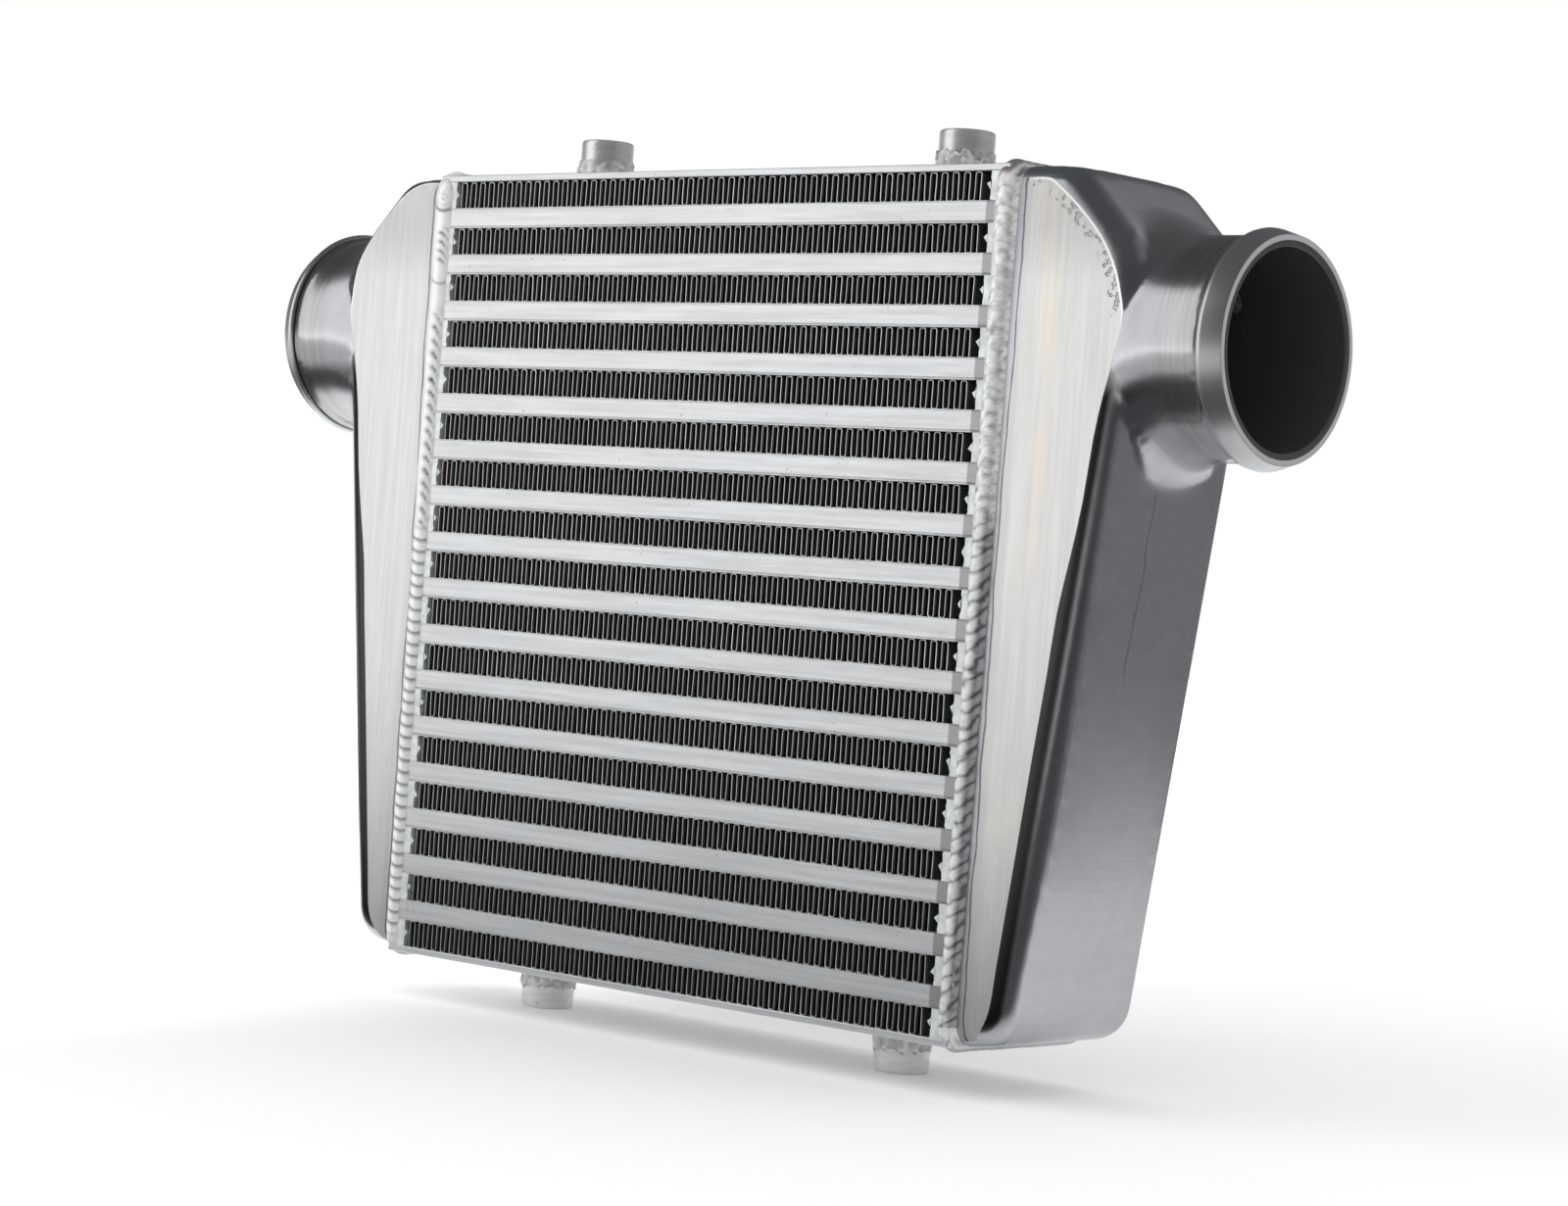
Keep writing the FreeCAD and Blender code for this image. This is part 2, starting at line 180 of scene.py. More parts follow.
class CoolerStep:
    """One step of the work, as the panel calls it"""

    def execute(self, context):
        self.make(context.scene)
        return {"FINISHED"}


def add_block(bm, low, high):
    """A box between two corners, added to bm. Gives back its vertices."""
    made = bmesh.ops.create_cube(bm, size=1.0)["verts"]
    bmesh.ops.scale(bm, vec=high - low, verts=made)
    bmesh.ops.translate(bm, vec=(low + high) / 2, verts=made)
    return made


def edges_of(verts):
    held = set(verts)
    return list({edge for vert in verts for edge in vert.link_edges if set(edge.verts) <= held})


def round_edges(bm, edges, offset, segments=2):
    bmesh.ops.bevel(
        bm, geom=edges, offset=offset, offset_type="OFFSET", segments=segments, profile=0.5,
        affect="EDGES", clamp_overlap=True, material=-1,
    )


def relax(bm, verts, rounds):
    """Moves each vertex halfway to the middle of its neighbours, round after round."""
    for _ in range(rounds):
        bmesh.ops.smooth_vert(
            bm, verts=verts, factor=0.5, use_axis_x=True, use_axis_y=True, use_axis_z=True
        )


def turn(bm, profile, steps, axis=(0, 0, 1), centre=(0, 0, 0)):
    """Spins an open line of points once round the axis and closes its seam."""
    verts = [bm.verts.new(point) for point in profile]
    edges = [bm.edges.new(pair) for pair in zip(verts, verts[1:])]
    bmesh.ops.spin(
        bm, geom=verts + edges, cent=centre, axis=axis, dvec=(0, 0, 0), angle=math.tau, steps=steps,
        use_merge=True, use_duplicate=False,
    )
    bmesh.ops.remove_doubles(bm, verts=bm.verts[:], dist=1e-6)


def mesh_of(bm, name):
    """Turns bm into a mesh and frees it."""
    mesh = bpy.data.meshes.new(name)
    bm.to_mesh(mesh)
    bm.free()
    return mesh


def add_object(name, data):
    made = bpy.data.objects.new(name, data)
    bpy.context.scene.collection.objects.link(made)
    return made


def join_into(bm, part):
    """Adds the bmesh part to bm and frees it."""
    mesh = mesh_of(part, "part")
    bm.from_mesh(mesh)
    bpy.data.meshes.remove(mesh)


def push_new(bm, made, depth):
    """Moves the vertices that an extrusion has made back by depth."""
    verts = [item for item in made["geom"] if isinstance(item, bmesh.types.BMVert)]
    bmesh.ops.translate(bm, vec=(0, depth, 0), verts=verts)


def make_piece(bm, name, metal, nodes, crease=40.0):
    """Turns bm into a finished piece that stands for CAD nodes and rides on the root."""
    bmesh.ops.recalc_face_normals(bm, faces=bm.faces[:])
    for face in bm.faces:
        face.smooth = True
    mesh = mesh_of(bm, name)
    mesh.set_sharp_from_angle(angle=math.radians(crease))
    mesh.materials.append(bpy.data.materials[metal])
    piece = add_object(name, mesh)
    if nodes:
        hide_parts(*nodes)
    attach(piece, "root")


def ripple(x, y=0.0, z=0.0):
    return noise.noise(Vector((x, y, z)))


# Shared effects, as node groups that give only masks, values and normals.


def new_group(name, vectors, masks):
    """A node group that takes vectors and gives masks, as the sockets inside it."""
    group = bpy.data.node_groups.new(name, "ShaderNodeTree")
    for label in vectors:
        group.interface.new_socket(name=label, in_out="INPUT", socket_type="NodeSocketVector")
    for label in masks:
        group.interface.new_socket(name=label, in_out="OUTPUT", socket_type="NodeSocketFloat")
    return group.nodes.new("NodeGroupInput").outputs, group.nodes.new("NodeGroupOutput").inputs


def feed(socket, value):
    """Links a socket to another one, or sets its value."""
    if isinstance(value, bpy.types.NodeSocket):
        socket.id_data.links.new(value, socket)
    elif socket.type == "RGBA":
        socket.default_value = (*value[:3], 1.0)
    else:
        socket.default_value = value


def add_node(tree, kind, settings=None, **inputs):
    made = tree.nodes.new(kind)
    for key, value in (settings or {}).items():
        setattr(made, key, value)
    for key, value in inputs.items():
        feed(made.inputs[key], value)
    return made


def calc(operation, first, *others, clamp=False):
    """A maths node in the tree that its first value comes from."""
    made = add_node(first.id_data, "ShaderNodeMath", {"operation": operation, "use_clamp": clamp})
    for socket, value in zip(made.inputs, (first, *others)):
        feed(socket, value)
    return made.outputs[0]


def times(first, second):
    return calc("MULTIPLY", first, second)


def plus(first, second):
    return calc("ADD", first, second)


def minus(first, second):
    return calc("SUBTRACT", first, second)


def any_of(*masks):
    """The largest of some masks."""
    return functools.reduce(lambda first, second: calc("MAXIMUM", first, second), masks)


def all_of(*masks):
    """The product of some masks."""
    return functools.reduce(times, masks)


def size_of(value):
    """The value without its sign."""
    return calc("ABSOLUTE", value)


def scaled(value, factor, base):
    return calc("MULTIPLY_ADD", value, factor, base)


def vector_calc(operation, first, second=(0.0, 0.0, 0.0)):
    made = add_node(first.id_data, "ShaderNodeVectorMath", {"operation": operation})
    feed(made.inputs[0], first)
    feed(made.inputs[1], second)
    return made.outputs["Value" if operation in ("DOT_PRODUCT", "DISTANCE", "LENGTH") else "Vector"]


def coordinates(tree, kind="Object"):
    return tree.nodes.new("ShaderNodeTexCoord").outputs[kind]


def parts_of(vector):
    """The x, y and z of a vector."""
    return add_node(vector.id_data, "ShaderNodeSeparateXYZ", Vector=vector).outputs[:]


def attribute(tree, name):
    return add_node(tree, "ShaderNodeAttribute", {"attribute_name": name}).outputs["Fac"]


def mix(factor, first, second):
    made = add_node(factor.id_data, "ShaderNodeMix", {"data_type": "RGBA"})
    for number, value in ((0, factor), (6, first), (7, second)):
        feed(made.inputs[number], value)
    return made.outputs[2]


def between(value, low, high):
    """0 below low, 1 above high, and smooth between them."""
    made = add_node(value.id_data, "ShaderNodeMapRange", {"interpolation_type": "SMOOTHSTEP"})
    for name, amount in (("Value", value), ("From Min", low), ("From Max", high)):
        feed(made.inputs[name], amount)
    return made.outputs["Result"]


def band_round(value, middle, edge, core):
    """1 where value is within core of middle, and 0 where it is further off than edge."""
    return between(size_of(minus(value, middle)), edge, core)


def add_noise(place, size, detail, roughness=0.5):
    """Soft noise from 0 to 1, with about size lumps to the metre."""
    inputs = {"Vector": place, "Scale": size, "Detail": detail, "Roughness": roughness}
    return add_node(place.id_data, "ShaderNodeTexNoise", **inputs).outputs[0]


def grain_group():
    """Fine parallel scratches. Stretch sets how long they are in x, y and z."""
    entry, leave = new_group("Metal Grain", ("Vector", "Stretch"), ("Fine", "Coarse"))
    drawn = vector_calc("MULTIPLY", entry["Vector"], entry["Stretch"])
    feed(leave["Fine"], add_noise(drawn, 2600.0, 3.0))
    feed(leave["Coarse"], add_noise(drawn, 500.0, 4.0))


def stain_group():
    """Soft uneven patches and small pits."""
    entry, leave = new_group("Metal Stains", ("Vector",), ("Patches", "Pits", "Mottle"))
    place = entry["Vector"]
    mottle = add_noise(place, 160.0, 4.0)
    cells = add_node(place.id_data, "ShaderNodeTexVoronoi", Vector=place, Scale=420.0, Randomness=1.0)
    spots = between(cells.outputs["Distance"], 0.22, 0.10)
    feed(leave["Patches"], between(add_noise(place, 22.0, 5.0, 0.6), 0.48, 0.70))
    feed(leave["Pits"], times(spots, between(mottle, 0.58, 0.66)))
    feed(leave["Mottle"], mottle)


def new_metal(name, bare=1.0):
    """An empty metal material: its tree, its shader, its object coordinates."""
    material = bpy.data.materials.new(name)
    material.use_nodes = True
    tree = material.node_tree
    tree.nodes.clear()
    output = tree.nodes.new("ShaderNodeOutputMaterial")
    shader = add_node(tree, "ShaderNodeBsdfPrincipled", Metallic=bare)
    feed(output.inputs["Surface"], shader.outputs[0])
    return tree, shader.inputs, coordinates(tree)


def use_group(name, place, **inputs):
    settings = {"node_tree": bpy.data.node_groups[name]}
    return add_node(place.id_data, "ShaderNodeGroup", settings, Vector=place, **inputs).outputs


def add_bump(shader, height, distance):
    bump = add_node(height.id_data, "ShaderNodeBump", Height=height, Distance=distance)
    feed(shader["Normal"], bump.outputs[0])
    return bump


def grained_metal(name, colour, stretch, rough, bump, shade=0.12, bare=1.0):
    """Metal with a grain along one direction, a little lighter and darker along it."""
    _, shader, place = new_metal(name, bare)
    grain = use_group("Metal Grain", place, Stretch=stretch)
    marks = use_group("Metal Stains", place)
    dull = tuple(level * (1.0 - 2.0 * shade) for level in colour)
    tone = mix(between(grain["Coarse"], 0.3, 0.7), dull, colour)
    tone = mix(times(marks["Pits"], 0.6), tone, (0.2, 0.2, 0.2))
    feed(shader["Base Color"], tone)
    feed(shader["Roughness"], scaled(grain["Fine"], 0.22, rough - 0.11))
    add_bump(shader, grain["Fine"], bump)
    return shader, tone, place


def clamped(value):
    return min(max(value, 0.0), 1.0)


def soft_curve(a, b, c, d, t):
    """The value at t between b and c on a soft curve through the four."""
    bend = (2 * a - 5 * b + 4 * c - d) * t * t
    return 0.5 * (2 * b + (c - a) * t + bend + (3 * b - a - 3 * c + d) * t**3)


def smooth_outline(points, steps=2):
    """More points on a soft curve through the given ones."""
    outline = [points[0]]
    last = len(points) - 1
    for number in range(last):
        four = [points[min(max(number + shift, 0), last)] for shift in (-1, 0, 1, 2)]
        for step in range(1, steps + 1):
            outline.append(tuple(soft_curve(*row, step / steps) for row in zip(*four)))
    return outline


def depth_inside(x, z, outline):
    """The distance to the nearest side of a closed outline, negative outside it."""
    nearest, inside = 1.0, False
    for (ax, az), (bx, bz) in zip(outline, outline[1:] + outline[:1]):
        dx, dz = bx - ax, bz - az
        share = ((x - ax) * dx + (z - az) * dz) / (dx * dx + dz * dz)
        share = clamped(share)
        nearest = min(nearest, math.hypot(x - ax - share * dx, z - az - share * dz))
        if (az > z) != (bz > z) and x < ax + (z - az) * dx / dz:
            inside = not inside
    return nearest if inside else -nearest


def weld_metal():
    """Frosty at the front and the rear, smooth along the top and the bottom, where its colour is
    painted darker as shade.
    """
    tree, shader, place = new_metal("Weld Metal")
    marks = use_group("Metal Stains", place)
    x, _, z = parts_of(place)
    # The runs that face up or down, on the right tank and low down, are glossier and painted darker, as
    # shade.
    up = between(size_of(parts_of(coordinates(tree, "Normal"))[2]), 0.20, 0.55)
    up = times(up, any_of(between(x, 0.0, 0.01), between(z, 0.2, 0.1)))
    frost = mix(marks["Mottle"], (0.78, 0.78, 0.78), (0.97, 0.97, 0.97))
    # The tone attribute darkens the frost towards near black: painted shade in the grooves and dips of
    # the beads, with some random tone.
    frost = mix(attribute(tree, "tone"), (0.13, 0.13, 0.14), frost)
    frost = mix(times(marks["Pits"], 0.5), frost, (0.3, 0.3, 0.3))
    feed(shader["Base Color"], mix(up, frost, (0.50, 0.48, 0.50)))
    feed(shader["Metallic"], scaled(up, 0.50, 0.30))
    feed(shader["Roughness"], scaled(up, -0.22, 0.46))
    add_bump(shader, marks["Mottle"], 0.00012)


def bar_metal():
    """Extruded bar, drawn along its length, with painted shade at its right end, by the recess beside
    the end weld.
    """
    colour, along_x = (0.79, 0.80, 0.81), (0.03, 1.0, 1.0)
    shader, tone, place = grained_metal("Bar Metal", colour, along_x, 0.43, 0.000004, 0.08)
    x, _, z = parts_of(place)
    # Painted shade: near the right weld bead the bars are darker, as the shade of the recess there.
    near = times(between(x, 0.1302, 0.1308), band_round(z, CORE_MIDDLE, 0.148, 0.146))
    feed(shader["Base Color"], mix(near, tone, (0.42, 0.42, 0.43)))


def shaded(colour, share):
    return tuple(share * level for level in colour)


def tank_masks(tree, place):
    """The coordinates, the grain and the masks that the parts of the tank metal share."""
    x, y, z = parts_of(place)
    facing_x, facing_y, _ = parts_of(coordinates(tree, "Normal"))
    across = size_of(x)
    depth = attribute(tree, "edge_depth")
    flat = times(between(size_of(facing_y), 0.55, 0.70), between(depth, -0.0001, 0.0003))
    mouth = times(between(size_of(facing_x), 0.97, 0.99), between(across, 0.2240, 0.2250))
    return types.SimpleNamespace(
        tree=tree,
        place=place,
        x=x,
        y=y,
        z=z,
        across=across,
        facing_y=facing_y,
        depth=depth,
        flat=flat,
        mouth=mouth,
        stub=between(across, 0.1985, 0.2110),
        lip=any_of(
            between(x, RIGHT_LIP_START - 0.0001, RIGHT_LIP_START + 0.0001),
            between(x, LEFT_LIP_START + 0.0001, LEFT_LIP_START - 0.0001),
        ),
        bore=between(attribute(tree, "hollow"), 0.45, 0.55),
        brushed=use_group("Metal Grain", place, Stretch=(1.0, 1.0, 0.035)),
        turned=use_group("Metal Grain", place, Stretch=(1.0, 0.05, 0.05)),
        sideways=use_group("Metal Grain", place, Stretch=(1.0, 0.04, 1.0)),
        marks=use_group("Metal Stains", place),
        tall=use_group("Metal Stains", vector_calc("MULTIPLY", place, (1.0, 1.0, 0.3))),
    )


def tank_face(finish, on):
    """The linished face: a stain, a painted highlight along its upper edge with dents beside it, bumped
    in and painted darker, and at the weld a paler toe, a painted shade line in the undercut and a pale
    bluish strip against the bead.
    """
    streak_x, streak_z, edge_highlight_depth, dent_depth = 0.1597, 0.240, 0.0004, 0.0028
    bright = finish.bright[:]
    face = mix(between(on.brushed["Coarse"], 0.25, 0.75), shaded(bright, 0.86), bright)
    face = mix(times(on.tall["Patches"], 0.8), face, CREAM)
    face = mix(times(on.marks["Mottle"], 0.22), face, (0.50, 0.50, 0.50))
    streak = all_of(
        band_round(plus(on.across, scaled(on.tall["Mottle"], 0.016, -0.008)), streak_x, 0.0070, 0.0),
        band_round(on.z, streak_z, 0.085, 0.030),
        between(on.tall["Mottle"], 0.25, 0.65),
        between(on.x, 0.0, 0.01),
    )
    face = mix(times(streak, 0.55), face, finish.stain[:])
    upper = between(on.z, 0.258, 0.272)
    # A thin painted highlight along the upper part of the face's edge.
    rim = times(band_round(on.depth, edge_highlight_depth, 0.0006, 0.0002), upper)
    face = mix(rim, face, (0.97, 0.95, 0.96))
    dents = all_of(
        between(add_noise(on.place, 520.0, 1.0), 0.52, 0.62),
        band_round(on.depth, dent_depth, 0.0026, 0.0010),
        upper,
        between(on.marks["Mottle"], 0.44, 0.54),
        between(on.x, 0.146, 0.148),
    )
    face = mix(times(dents, 0.32), face, (0.30, 0.29, 0.28))
    toe = plus(on.across, scaled(on.tall["Mottle"], 0.0030, -0.0015))
    face = mix(times(between(toe, 0.1492, 0.1470), 0.45), face, finish.cast[:])
    # Next to the weld a thin dark line is painted, as the shade in the undercut; against the bead lies
    # a pale bluish strip.
    toe = minus(toe, times(between(on.z, 0.19, 0.26), 0.0013))
    face = mix(between(toe, 0.1449, 0.1445), face, (0.22, 0.22, 0.22))
    return mix(between(toe, 0.1441, 0.1438), face, (0.56, 0.58, 0.61)), dents


def tank_satin(finish, on):
    """The satin sides: clouded, with a painted shade line for a fine crease down the outer face, and a
    painted dark reflection on the rounded sides next to the flat face.
    """
    cast = finish.cast[:]
    satin = mix(on.marks["Mottle"], shaded(cast, 0.85), cast)
    satin = mix(times(on.sideways["Coarse"], 0.16), satin, (0.2, 0.2, 0.2))
    satin = mix(times(on.marks["Patches"], 0.22), satin, (0.30, 0.32, 0.36))
    # A thin line painted dark, as the shade of a fine crease down the outer face.
    crease = plus(on.y, scaled(on.tall["Mottle"], 0.0056, -0.0028))
    crease = times(band_round(crease, -0.0075, 0.0006, 0.0001), band_round(on.z, 0.178, 0.040, 0.024))
    satin = mix(times(crease, 0.5), satin, (0.12, 0.12, 0.13))
    # Painted reflection: low down, the rounded sides next to the flat face are painted near black, as
    # the reflection of the dark room.
    flank_reflection = between(size_of(on.facing_y), 0.86, 0.97)
    flank_reflection = all_of(flank_reflection, between(on.z, 0.246, 0.238), between(on.across, 0.150, 0.152))
    return mix(flank_reflection, satin, (0.045, 0.043, 0.045))


def tank_mouth(on, colour):
    """The turned stub, its lip, the face of its mouth with a burr painted near white as its highlight,
    and the bore painted dark as its shade.
    """
    ring = between(on.turned["Coarse"], 0.3, 0.7)
    smooth = mix(ring, (0.39, 0.395, 0.40), (0.47, 0.475, 0.48))
    colour = mix(on.stub, colour, smooth)
    colour = mix(times(on.lip, 0.8), colour, (0.66, 0.67, 0.68))
    colour = mix(on.mouth, colour, (0.52, 0.52, 0.53))
    # A ragged burr round the bore, painted near white as the highlight along its edge.
    from_axis = add_node(on.tree, "ShaderNodeCombineXYZ", Y=on.y, Z=minus(on.z, STUB_HEIGHT))
    reach = vector_calc("LENGTH", from_axis.outputs[0])
    ragged = plus(reach, scaled(on.marks["Mottle"], 0.0030, -0.0015))
    colour = mix(times(between(ragged, 0.0353, 0.0350), on.mouth), colour, (0.96, 0.96, 0.97))
    # The bore is painted near black, as the shade inside it.
    return mix(on.bore, colour, (0.07, 0.07, 0.07))


def tank_normal(shader, on, dents):
    """Fine grain over flat faces: the linished face faces straight out, the outer face sideways."""
    straight = add_node(on.tree, "ShaderNodeCombineXYZ", Y=calc("SIGN", on.facing_y))
    x, y, z = parts_of(on.tree.nodes.new("ShaderNodeNewGeometry").outputs["Normal"])
    keep = any_of(between(size_of(y), 0.20, 0.55), between(on.z, 0.200, 0.225))
    even = add_node(on.tree, "ShaderNodeCombineXYZ", X=x, Y=times(y, keep), Z=z)
    shape = add_node(on.tree, "ShaderNodeMix", {"data_type": "VECTOR"})
    feed(shape.inputs[0], on.flat)
    feed(shape.inputs[4], vector_calc("NORMALIZE", even.outputs[0]))
    feed(shape.inputs[5], straight.outputs[0])
    fine = add_bump(shader, mix(on.stub, on.brushed["Fine"], on.turned["Fine"]), 0.000012)
    feed(fine.inputs["Normal"], shape.outputs[1])
    deep = add_bump(shader, dents, 0.00022)
    deep.invert = True
    feed(deep.inputs["Normal"], fine.outputs[0])


def tank_metal(finish):
    """Cast aluminium: brushed on its two flat faces, satin round its edges, turned at the stub."""
    tree, shader, place = new_metal("Tank Metal")
    on = tank_masks(tree, place)
    face, dents = tank_face(finish, on)
    feed(shader["Base Color"], tank_mouth(on, mix(on.flat, tank_satin(finish, on), face)))
    slope = calc("SUBTRACT", between(on.z, 0.272, 0.300), on.stub, clamp=True)
    dull = plus(scaled(on.sideways["Fine"], 0.12, 0.16), times(on.lip, 0.12))
    dull = plus(dull, times(slope, 0.14))
    feed(shader["Roughness"], scaled(any_of(on.flat, on.mouth), 0.12, dull))
    feed(shader["Metallic"], scaled(any_of(on.bore, on.mouth), -0.6, 1.0))
    tank_normal(shader, on, dents)


def foil_metal(finish, pitch):
    """Thin fin foil, with painted light and shade: the front edge of every second fold side is painted
    lighter as lit, those between dimmer, and the foil behind the edges dark as the shade inside the
    channels.
    """
    _, shader, place = new_metal("Fin Foil", 0.85)
    marks = use_group("Metal Stains", place)
    x, y, _ = parts_of(place)
    # Every second fold side gets the painted light: a lighter front edge and less painted shade behind
    # it.
    lit_wall = between(calc("PINGPONG", calc("DIVIDE", x, pitch), 0.5), 0.2, 0.3)
    rim = between(size_of(y), FIN_RIM - 0.0013, FIN_RIM - 0.0002)
    # Painted light on the front edges: lighter than the foil and patchy, dimmer on the less lit sides.
    bright = mix(marks["Patches"], finish.foil[:], (0.90, 0.90, 0.88))
    lit_rims = mix(lit_wall, (0.50, 0.495, 0.48), bright)
    # Painted shade: behind the front edges the foil is near black, as the shade inside the channels.
    shaded_walls = mix(lit_wall, (0.06, 0.06, 0.065), (0.17, 0.17, 0.175))
    feed(shader["Base Color"], mix(rim, shaded_walls, lit_rims))
    feed(shader["Roughness"], scaled(marks["Mottle"], 0.2, 0.25))


def make_finishes(finish, pitch):
    """Every material of the cooler."""
    grain_group()
    stain_group()
    bar_metal()
    grained_metal("End Bar Metal", (0.78, 0.82, 0.82), (0.6, 0.6, 0.6), 0.45, 0.00003, 0.12, 0.55)
    foil_metal(finish, pitch)
    weld_metal()
    grained_metal("Boss Metal", (0.80, 0.80, 0.80), (0.2, 0.2, 1.0), 0.34, 0.000003, 0.06, 0.75)
    tank_metal(finish)


class COOLER_OT_finishes(CoolerStep, bpy.types.Operator):
    """Makes the metal finishes"""

    bl_idname = "cooler.finishes"
    bl_label = "Metal Finishes"

    def make(self, scene):
        make_finishes(scene.cooler_finish, fin_pitch(scene.cooler_core)[1])


class COOLER_OT_core_plates(CoolerStep, bpy.types.Operator):
    """Makes the two plates that close the stack"""

    bl_idname = "cooler.core_plates"
    bl_label = "Core Plates"

    def make(self, scene):
        for name in ("bottom_plate", "top_plate"):
            bm = bmesh.new()
            verts = add_block(bm, *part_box(name))
            round_edges(bm, edges_of(verts), 0.0004)
            make_piece(bm, name + "_sheet", "Bar Metal", [name], 15.0)


class COOLER_OT_charge_tubes(CoolerStep, bpy.types.Operator):
    """Makes the charge tubes, each of two sheets and two bars"""

    bl_idname = "cooler.charge_tubes"
    bl_label = "Charge Tubes"

    def make(self, scene):
        core = scene.cooler_core
        for name in nodes_like("charge_tube_"):
            low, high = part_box(name)
            bm = bmesh.new()
            for foot in (low.z, high.z - core.sheet):
                corner = Vector((low.x, low.y, foot))
                verts = add_block(bm, corner, Vector((high.x, high.y, foot + core.sheet)))
                round_edges(bm, edges_of(verts), 0.00012, 1)
            for front in (low.y, high.y - core.bar_depth):
                corner = Vector((low.x, front, low.z + core.sheet + core.seam))
                far = Vector((high.x, front + core.bar_depth, high.z - core.sheet))
                verts = add_block(bm, corner, far)
                round_edges(bm, edges_of(verts), 0.00012, 2)
                inner = Vector((low.x, front + core.seam * 2, low.z + core.sheet / 2))
                rear = Vector((high.x, front + core.bar_depth - core.seam * 2, corner.z + core.seam))
                add_block(bm, inner, rear)
            make_piece(bm, name + "_bars", "Bar Metal", [name], 15.0)


def fold_strip(bm, core, reach, foot, head, front, rear, seed):
    """One corrugated strip: a square wave, drawn, stretched in depth, rounded and thickened."""
    folds, pitch = fin_pitch(core)
    wander = core.fold_wander
    middle = (foot + head) / 2
    line = []
    for half in range(2 * folds):
        x = -reach + half * pitch / 2
        drift = wander * 2.0 * ripple(half * 0.11, seed * 3.7)
        lean = wander * 1.6 * ripple(half * 0.83, seed * 5.1, 4.0)
        bow = wander * 1.4 * ripple(half * 0.71, seed * 2.3, 9.0)
        start, end = (foot, head) if half % 2 == 0 else (head, foot)
        line += [(x + drift - lean, start), (x + drift + bow, middle), (x + drift + lean, end)]
    verts = [bm.verts.new((x, front, z)) for x, z in line]
    edges = [bm.edges.new(pair) for pair in zip(verts, verts[1:])]
    push_new(bm, bmesh.ops.extrude_edge_only(bm, edges=edges), rear - front)
    for number, vert in enumerate(verts):
        if number // 3 % 2:
            vert.co.y += core.fin_setback * 0.5
    corners = [
        edge
        for edge in bm.edges
        if len(edge.link_faces) == 2 and abs(edge.verts[0].co.z - middle) > 0.001
    ]
    round_edges(bm, corners, core.fold_radius, 2)
    bmesh.ops.recalc_face_normals(bm, faces=bm.faces[:])
    bmesh.ops.solidify(bm, geom=bm.faces[:], thickness=core.foil)


class COOLER_OT_cooling_fins(CoolerStep, bpy.types.Operator):
    """Makes the folded cooling fins at their true pitch"""

    bl_idname = "cooler.cooling_fins"
    bl_label = "Cooling Fins"

    def make(self, scene):
        core = scene.cooler_core
        reach = fin_reach(core)
        front = -CORE_HALF_DEPTH + core.fin_setback
        for row, name in enumerate(nodes_like("cooling_fin_"), start=1):
            low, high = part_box(name)
            bm = bmesh.new()
            edge = core.foil / 2
            fold_strip(bm, core, reach, low.z + edge, high.z - edge, front, -front, row)
            make_piece(bm, name + "_foil", "Fin Foil", [name])


def add_bar(bm, core, sign, foot, head, seed):
    """One end bar with an uneven nose towards the fins."""
    outer = sign * CORE_HALF_LENGTH
    root = sign * (CORE_HALF_LENGTH - core.end_bar_width) + (0.0004 if sign > 0 else 0.0002)
    tip = root - sign * core.end_bar_nose
    middle, ridge = (foot + head) / 2, 0.0016
    outline = (
        (outer, foot), (outer, head), (root, head), (root, middle + ridge), (tip, middle),
        (root, middle - ridge), (root, foot),
    )
    part = bmesh.new()
    verts = [part.verts.new((x, -CORE_HALF_DEPTH, z)) for x, z in outline]
    made = bmesh.ops.extrude_face_region(part, geom=[part.faces.new(verts)])
    push_new(part, made, 2 * CORE_HALF_DEPTH)
    tall = [
        edge
        for edge in part.edges
        if abs(edge.verts[0].co.z - edge.verts[1].co.z) > 0.002
        and all(abs(vert.co.x - root) < 1e-6 for vert in edge.verts)
    ]
    bmesh.ops.subdivide_edges(part, edges=tall, cuts=3)
    drawn = [e for e in part.edges if abs(e.verts[0].co.y - e.verts[1].co.y) > CORE_HALF_DEPTH]
    bmesh.ops.subdivide_edges(part, edges=drawn, cuts=30)
    for vert in part.verts:
        if abs(vert.co.x - outer) > 0.004:
            y, z = vert.co.y * 500.0, vert.co.z * 900.0
            vert.co.x += sign * 0.00055 * ripple(y + 11.0, z, seed * 1.7)
        if abs(vert.co.x - tip) < 0.0007:
            vert.co.z += 0.0012 * ripple(vert.co.y * 200.0, seed * 2.9, 3.0)
    join_into(bm, part)


class COOLER_OT_end_bars(CoolerStep, bpy.types.Operator):
    """Makes the bars that close the fin rows, with their pointed noses"""

    bl_idname = "cooler.end_bars"
    bl_label = "End Bars"

    def make(self, scene):
        core = scene.cooler_core
        for side, sign in SIDES.items():
            bm = bmesh.new()
            for row, name in enumerate(nodes_like("cooling_fin_")):
                low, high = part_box(name)
                add_bar(bm, core, sign, low.z, high.z, row + 40 * sign)
            node = "end_bars_" + side
            make_piece(bm, node + "_bars", "End Bar Metal", [node])


def scales(phase):
    """One rounded scale after another, from 0 in the groove between two to 1 on each crown."""
    return math.sin(math.pi * (phase - math.floor(phase))) ** 0.55


def window(value, low, high, soft):
    """1 between low and high, 0 outside, with soft ends."""
    return clamped((value - low) / soft + 0.5) * clamped((high - value) / soft + 0.5)


def hump(offset, width):
    """1 in the middle, fading to 0 on both sides."""
    return math.exp(-((offset / width) ** 2))


